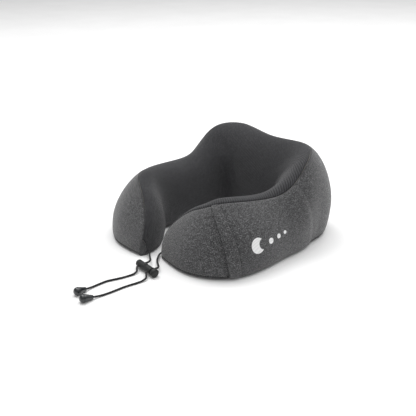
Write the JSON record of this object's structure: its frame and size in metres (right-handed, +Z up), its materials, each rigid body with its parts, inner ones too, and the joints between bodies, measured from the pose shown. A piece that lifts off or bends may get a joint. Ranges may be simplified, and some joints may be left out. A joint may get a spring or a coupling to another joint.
{
  "type": "travel neck pillow",
  "caption": "U-shaped memory-foam neck pillow with raised back lobes, a zipped knit cover, a side pocket and a drawcord with a barrel lock and bell ends.",
  "frame": {"origin": "middle of the pillow's bounding box without the free cords, on the ground under its flat base", "axes": "+Z up from the flat base; +Y from the opening of the U towards the back of the neck; +X towards the arm that carries the pocket"},
  "size_m": [0.2806, 0.4352, 0.1419],
  "materials": {
    "foam": "open-cell slow-recovery foam, cream",
    "ribbed_knit": "dark charcoal fine diagonal-ribbed plush knit",
    "heather_knit": "heather mid-grey melange knit",
    "base_knit": "heather grey knit, a little darker underneath",
    "zip_tape": "black woven tape",
    "zip_coil": "black nylon coil",
    "zip_metal": "black lacquered zinc",
    "cord": "black round braided cord",
    "gloss_plastic": "dark grey glossy moulded plastic",
    "matte_plastic": "dark grey satin moulded plastic",
    "spring_steel": "bright spring wire"
  },
  "bodies": {
    "pillow": {"foam_core": "foam", "neck_panel": "ribbed_knit", "side_panel_left": "heather_knit", "side_panel_right": "heather_knit", "base_panel": "base_knit", "pocket_panel": "heather_knit", "pocket_hem": "heather_knit", "zip_tape_front": "zip_tape", "zip_tape_rear": "zip_tape", "zip_coil_front": "zip_coil", "zip_coil_rear": "zip_coil", "zip_stop_open": "zip_metal", "zip_stop_closed": "zip_metal", "cord_anchor_left": "zip_tape", "cord_anchor_right": "zip_tape", "cord_left": "cord", "cord_right": "cord", "cord_knot_left": "cord", "cord_knot_right": "cord", "cord_end_bell_left": "gloss_plastic", "cord_end_bell_right": "gloss_plastic", "cord_end_cap_left": "gloss_plastic", "cord_end_cap_right": "gloss_plastic"},
    "zip_slider": {"zip_slider": "zip_metal"},
    "zip_pull": {"zip_pull": "zip_metal"},
    "cord_lock": {"lock_barrel": "matte_plastic", "lock_spring": "spring_steel"},
    "lock_plunger": {"lock_plunger": "matte_plastic"}
  },
  "joints": [
    {"name": "zip_slide", "type": "slide", "parent": "pillow", "child": "zip_slider", "axis": [1, 0, 0], "range_m": [-0.12, 0]},
    {"name": "zip_pull_hinge", "type": "hinge", "parent": "zip_slider", "child": "zip_pull", "pos_m": [0.06267, 0.10985, 0.001], "axis": [0, -1, 0], "range_deg": [0, 100]},
    {"name": "lock_slide", "type": "slide", "parent": "pillow", "child": "cord_lock", "axis": [0, 1, 0], "range_m": [0, 0.007]},
    {"name": "lock_press", "type": "slide", "parent": "cord_lock", "child": "lock_plunger", "axis": [-1, 0, 0], "range_m": [0, 0.0018], "stiffness_N_per_m": 1500, "springref_m": -0.001, "deforming": ["lock_spring"]}
  ]
}
